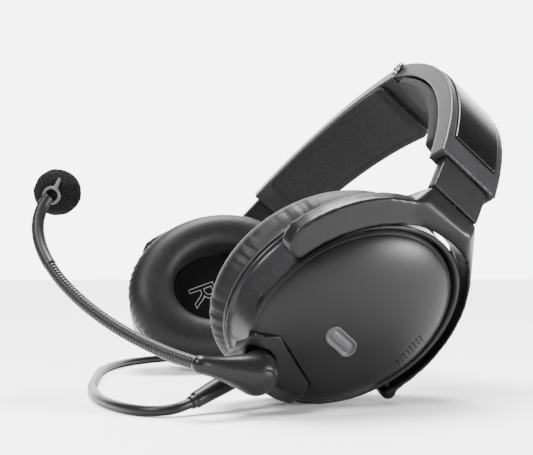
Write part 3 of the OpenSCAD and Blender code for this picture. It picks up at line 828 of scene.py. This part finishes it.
def add_ear_mark(side, letter):
    """The side's letter, in outline on the scrim."""
    data = bpy.data.curves.new(f"{side}_mark", "FONT")
    data.body = letter
    data.size = MARK_SIZE * MM
    data.align_x = "CENTER"
    data.align_y = "CENTER"
    data.fill_mode = "NONE"
    data.bevel_depth = 0.22 * MM
    obj = link(bpy.data.objects.new(f"{side}_mark", data))
    facing = Matrix((CUP.y * -1, CUP.z, CUP.x * -1)).transposed().to_4x4()
    lie = Matrix.Translation(CUP.at(MARK_DEPTH, *MARK_AT)) @ facing
    obj.matrix_world = MIRROR @ lie @ MIRROR if side == "right" else lie
    graph = bpy.context.evaluated_depsgraph_get()
    mesh = bpy.data.meshes.new_from_object(obj.evaluated_get(graph))
    mesh.transform(obj.matrix_world)
    bpy.data.objects.remove(obj, do_unlink=True)
    mark = link(bpy.data.objects.new(f"{side}_ear_mark", mesh))
    piece(mark, MARK, f"{side}_cup", slot="scrim_fabric")


add_cups()
for side, letter in zip(SIDES, "LR"):
    add_ear_mark(side, letter)


# ---------- headband ----------
def band_width(angle):
    """Width of the band at an angle round its arc: it narrows towards the slider."""
    x = (BAND_R - BAND_T) * math.cos(math.radians(angle)) - BAND_R * math.sin(math.radians(BAND_START))
    return BAND_W[0] + (BAND_W[1] - BAND_W[0]) * x / BAND_R


def band_pad(name):
    """A felted pad: flat on the band, crowned below, with rounded corners and a sewn edge."""
    low, high = PAD_ANGLES
    along, across = 72, 48
    rings = []
    for i in range(along + 1):
        t = i / along
        end = min(t, 1 - t) * math.radians(high - low) * BAND_R
        angle = math.radians(low + (high - low) * t)
        inset = PAD_CORNER - math.sqrt(max(0.0, PAD_CORNER ** 2 - max(0.0, PAD_CORNER - end) ** 2))
        half = band_width(math.degrees(angle)) / 2 + 0.2 - inset * 0.9
        thin = min(1.0, (end / 2.6) ** 0.5 if end > 0 else 0.0)
        ring = []
        for k in range(across):
            a = 2 * math.pi * k / across
            c, s = math.cos(a), math.sin(a)
            y = half * math.copysign(abs(c) ** 0.28, c)
            h = math.copysign(abs(s) ** 0.45, s)
            seam = SEAM_DEPTH * math.exp(-((abs(y) - half + SEAM_IN) / 0.5) ** 2) if s > 0 else 0.0
            swell = 1 - 0.12 * (y / half) ** 2
            depth = BAND_T + 0.2 + PAD_T / 2 + (PAD_T / 2 - 0.1) * h * thin * swell - seam * thin
            wave = 0.18 * noise.noise(Vector((t * 6, y * 0.12, 2)))
            r = BAND_R - depth - wave * max(0.0, s)
            ring.append(ARC.at(r * math.cos(angle), y, r * math.sin(angle)))
        rings.append(ring)
    return skin(name, rings)


def fork_moulding(side):
    """The fork, with a rib behind its neck and large rounds, as one moulding."""
    rings = []
    for degrees in RIB_ANGLES:
        a = math.radians(degrees)
        c, s = math.cos(a), math.sin(a)
        ring = []
        for d, g in RIB_SECTION:
            short, long = FORK_OUT[0] + g, FORK_OUT[1] + g
            ring.append(CUP.at(d, FORK_SHIFT[0] + short * c, FORK_SHIFT[1] + long * s))
        rings.append(ring)
    rib = skin("rib", rings)
    if side == "right":
        flip(rib.data)
    obj = copy_of(f"{side}_yoke", f"{side}_fork")
    shape = bmesh.new()
    shape.from_mesh(obj.data)
    shape.from_mesh(rib.data)
    shape.to_mesh(obj.data)
    shape.free()
    bpy.data.objects.remove(rib, do_unlink=True)
    return rounded(obj, 0.65, 34)


def add_band():
    for pad in pair(band_pad("left_pad"), FELT, "band", "band_cushion"):
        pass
    for side in SIDES:
        frame_skin = softened(f"{side}_band_frame", f"{side}_band_moulding", 0.55, 5)
        piece(frame_skin, BAND, f"{side}_band", f"{side}_band_frame")
        panel = softened(f"{side}_band_trim", f"{side}_gloss_panel", 0.4, 4)
        piece(panel, GLOSS, f"{side}_band", f"{side}_band_trim")
        slide = bevelled(f"{side}_slider", f"{side}_slider_bar", 0.5)
        piece(slide, SLIDER, f"{side}_slider", f"{side}_slider")
        fork = fork_moulding(side)
        piece(fork, YOKE, f"{side}_yoke", f"{side}_yoke")
    piece(bevelled("band_hinge_cap", "hinge_ring", 0.25), HINGE_STEEL, "left_band", "band_hinge_cap")


add_band()


# ---------- boom microphone ----------
def tube(name, path, radii, sides=20):
    """A tube along a path, with its own radius at each point."""
    rings = []
    side = None
    for i, p in enumerate(path):
        ahead = (path[min(i + 1, len(path) - 1)] - path[max(i - 1, 0)]).normalized()
        side = ahead.orthogonal() if side is None else side - ahead * side.dot(ahead)
        side.normalize()
        other = ahead.cross(side)
        ring = []
        for k in range(sides):
            a = 2 * math.pi * k / sides
            ring.append(p + (side * math.cos(a) + other * math.sin(a)) * radii[i] * MM)
        rings.append(ring)
    return skin(name, rings)


def gooseneck():
    """A wound tube from the arm, in even steps along its curve, with a smooth sleeve up to the microphone."""
    fine = [bezier(NECK_CURVE, i / NECK_STEPS) for i in range(NECK_STEPS + 1)]
    total = length_of(fine)
    steps = int(total / COIL_PITCH * COIL_STEPS)
    path, radii, walked, j = [], [], 0.0, 0
    for i in range(steps + 1):
        goal = total * i / steps
        while j < NECK_STEPS - 1 and walked + (fine[j + 1] - fine[j]).length < goal:
            walked += (fine[j + 1] - fine[j]).length
            j += 1
        part = (fine[j + 1] - fine[j]).length
        p = fine[j].lerp(fine[j + 1], min(1.0, (goal - walked) / part))
        path.append(HEAD.at(*p))
        share = i / steps
        # Radii of the rounded windings, and of the sleeve with its short taper
        if share < SLEEVE_FROM:
            radii.append(NECK_D / 2 - 0.22 + 0.34 * abs(math.sin(math.pi * goal / COIL_PITCH)) ** 0.7)
        else:
            radii.append(NECK_D / 2 + SLEEVE_T * min(1.0, (share - SLEEVE_FROM) / 0.008))
    obj = tube("gooseneck", path, radii)
    piece(obj, NECK_SKIN, None, "gooseneck_lower", "gooseneck_upper")
    near = HEAD.at(*bezier(NECK_CURVE, NECK_SPLIT - 0.05))
    far = HEAD.at(*bezier(NECK_CURVE, NECK_SPLIT + 0.05))
    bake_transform(obj)


def windscreen():
    """A ball of foam with a lumpy, open-pored face."""
    bpy.ops.mesh.primitive_ico_sphere_add(subdivisions=6, radius=FOAM_D / 2 * MM)
    obj = bpy.context.object
    obj.name = "foam_windscreen"
    low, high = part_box("windscreen")
    centre = (Vector(low) + Vector(high)) / 2
    for vertex in obj.data.vertices:
        n = vertex.co.normalized()
        bumps = 0.45 * noise.noise(n * 2.2) + 0.22 * noise.noise(n * 14) + 0.16 * noise.noise(n * 30)
        vertex.co = centre + n * (FOAM_D / 2 + bumps) * MM
    piece(obj, FOAM, "mic_end", "windscreen")


def boom_arm():
    """A drop: a domed hub that runs out into the arm that holds the gooseneck."""
    shape = bmesh.new()
    steps = 30
    hub, tip = Vector(HUB), Vector(ARM_TIP)
    for i in range(steps + 1):
        t = i / steps
        r = ARM_TIP_R + (HUB_R - ARM_TIP_R) * (1 - t) ** 1.5
        centre = hub.lerp(tip, t)
        flat = Matrix.Diagonal((0.88 + 0.12 * t, 1, 1, 1))
        at = CUP.matrix() @ Matrix.Translation(centre * MM) @ flat
        bmesh.ops.create_uvsphere(shape, u_segments=24, v_segments=16, radius=r * MM, matrix=at)
    foot = CUP.matrix() @ Matrix.Translation(Vector(HUB_FOOT) * MM) @ Matrix.Rotation(math.pi / 2, 4, "Y")
    bmesh.ops.create_cone(
        shape, cap_ends=True, segments=32, radius1=FOOT_R[0] * MM, radius2=FOOT_R[1] * MM, depth=FOOT_T * MM,
        matrix=foot @ Matrix.Translation((0, 0, FOOT_T / 2 * MM)),
    )
    mesh = bpy.data.meshes.new("boom_arm_drop")
    shape.to_mesh(mesh)
    shape.free()
    return rounded(link(bpy.data.objects.new("boom_arm_drop", mesh)), 0.45, 10)


def boom_module():
    """The module, with its flank trimmed back to a slanted bevel beside the shell."""
    obj = copy_of("boom_module", "module_moulding")
    upper, lower, outside, removed = (CUP.at(*p) for p in TRIM_PLANE)
    normal = (lower - upper).cross(outside - upper).normalized()
    if normal.dot(removed - upper) < 0:
        normal.negate()
    shape = bmesh.new()
    shape.from_mesh(obj.data)
    whole = shape.verts[:] + shape.edges[:] + shape.faces[:]
    seam = bmesh.ops.bisect_plane(shape, geom=whole, plane_co=upper, plane_no=normal, clear_outer=True)
    edges = [e for e in seam["geom_cut"] if isinstance(e, bmesh.types.BMEdge)]
    bmesh.ops.holes_fill(shape, edges=edges)
    bmesh.ops.triangulate(shape, faces=shape.faces)
    shape.to_mesh(obj.data)
    shape.free()
    return rounded(obj, 0.5, 4)


def clip_ring():
    """The ring that holds the microphone to the end of the gooseneck."""
    centre = HEAD.at(*CLIP_AT)
    low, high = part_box("windscreen")
    out = (centre - (Vector(low) + Vector(high)) / 2).normalized()
    side = out.orthogonal().normalized()
    other = out.cross(side)
    rings = []
    for i in range(40):
        a = 2 * math.pi * i / 40
        spoke = side * math.cos(a) + other * math.sin(a)
        ring = []
        for k in range(12):
            b = 2 * math.pi * k / 12
            ring.append(centre + (spoke * (3.4 + 0.75 * math.cos(b)) + out * (0.9 * math.sin(b) - 0.2)) * MM)
        rings.append(ring)
    return skin("mic_clip_ring", rings, loop=True)


def clip_prong():
    """The prong that reaches from the ring into the foam."""
    start, tip = Vector(PRONG_FROM), Vector(PRONG_TIP)
    steps = 16
    path = [HEAD.at(*start.lerp(tip, i / steps)) for i in range(steps + 1)]
    radii = [1.15 - 0.5 * i / steps if 0 < i < steps else 0.35 for i in range(steps + 1)]
    return tube("mic_clip_prong", path, radii, 14)


def add_boom():
    piece(boom_arm(), BOOM, "boom_arm", "boom_hub")
    piece(boom_module(), MODULE, "left_cup", "boom_module")
    gooseneck()
    windscreen()
    piece(clip_ring(), CLIP, "mic_end", "mic_clip")
    piece(clip_prong(), CLIP, "mic_end", slot="clip_metal")


add_boom()


# ---------- strain relief and the controls on the box ----------
def add_relief():
    """A taper with a step down to the cord at its end."""
    start, finish = (Vector(p) for p in RELIEF_ENDS)
    steps = 60
    path = [start.lerp(finish, i / steps) * MM for i in range(steps + 1)]
    radii = []
    for i in range(steps + 1):
        t = i / steps
        radii.append(RELIEF_R[0] + (RELIEF_R[1] - RELIEF_R[0]) * t - (0.5 if t > 0.93 else 0.0))
    obj = tube("strain_relief", path, radii, 28)
    piece(obj, CORD_SKIN, "left_cup", "cord_strain_relief")


add_relief()
for node, surface in (
    ("battery_door", BOX), ("left_volume_wheel", WHEEL),
    ("right_volume_wheel", WHEEL), ("power_button", BUTTON),
):
    dress(NODES[node], surface)


# ---------- floor and light ----------
# Strength of the surroundings and of the backdrop ahead of the camera, and where one fades into the other
AMBIENT = 0.12
BACKDROP = 6.5
BACKDROP_SPREAD = (0.72, 0.93)


def add_floor():
    surface = Surface("floor_pale", (0.86, 0.86, 0.86), 0.75)
    surface.vary_roughness(surface.noise(3), 0.7, 0.8)
    bpy.ops.mesh.primitive_plane_add(size=30)
    floor = bpy.context.object
    floor.name = "floor"
    floor.data.materials.append(surface.material)


def add_light(name, at, aim, size, watts):
    data = bpy.data.lights.new(name, "AREA")
    data.shape = "RECTANGLE"
    data.size, data.size_y = size
    data.energy = watts
    lamp = link(bpy.data.objects.new(name, data))
    lamp.location = at
    lamp.rotation_euler = (Vector(aim) - Vector(at)).to_track_quat("-Z", "Y").to_euler()


def add_world():
    """Soft grey all round, and a broad white backdrop behind the headset."""
    world = bpy.data.worlds.new("studio")
    world.use_nodes = True
    tree = world.node_tree
    background = tree.nodes["Background"]
    background.inputs["Color"].default_value = (1, 1, 1, 1)
    spot = tree.nodes.new("ShaderNodeTexCoord")
    aim = tree.nodes.new("ShaderNodeVectorMath")
    aim.operation = "DOT_PRODUCT"
    aim.inputs[1].default_value = CAMERA_AHEAD.normalized()
    fade = tree.nodes.new("ShaderNodeMapRange")
    fade.interpolation_type = "SMOOTHSTEP"
    fade.inputs["From Min"].default_value = BACKDROP_SPREAD[0]
    fade.inputs["From Max"].default_value = BACKDROP_SPREAD[1]
    fade.inputs["To Min"].default_value = AMBIENT
    fade.inputs["To Max"].default_value = BACKDROP
    tree.links.new(spot.outputs["Generated"], aim.inputs[0])
    tree.links.new(aim.outputs["Value"], fade.inputs["Value"])
    tree.links.new(fade.outputs["Result"], background.inputs["Strength"])
    bpy.context.scene.world = world


def add_studio():
    add_world()
    data = bpy.data.lights.new("sky", "SUN")
    data.energy = 14
    data.angle = math.radians(34)
    sky = link(bpy.data.objects.new("sky", data))
    sky.rotation_euler = Vector((0.25, -0.1, -1)).to_track_quat("-Z", "Y").to_euler()
    add_light("key", (0.35, -0.8, 0.75), (0.1, 0, 0.08), (0.35, 0.35), 22)
    add_light("side", (0.75, 0.8, 0.16), (0.1, 0.0, 0.06), (0.3, 0.22), 26)


add_floor()
add_studio()
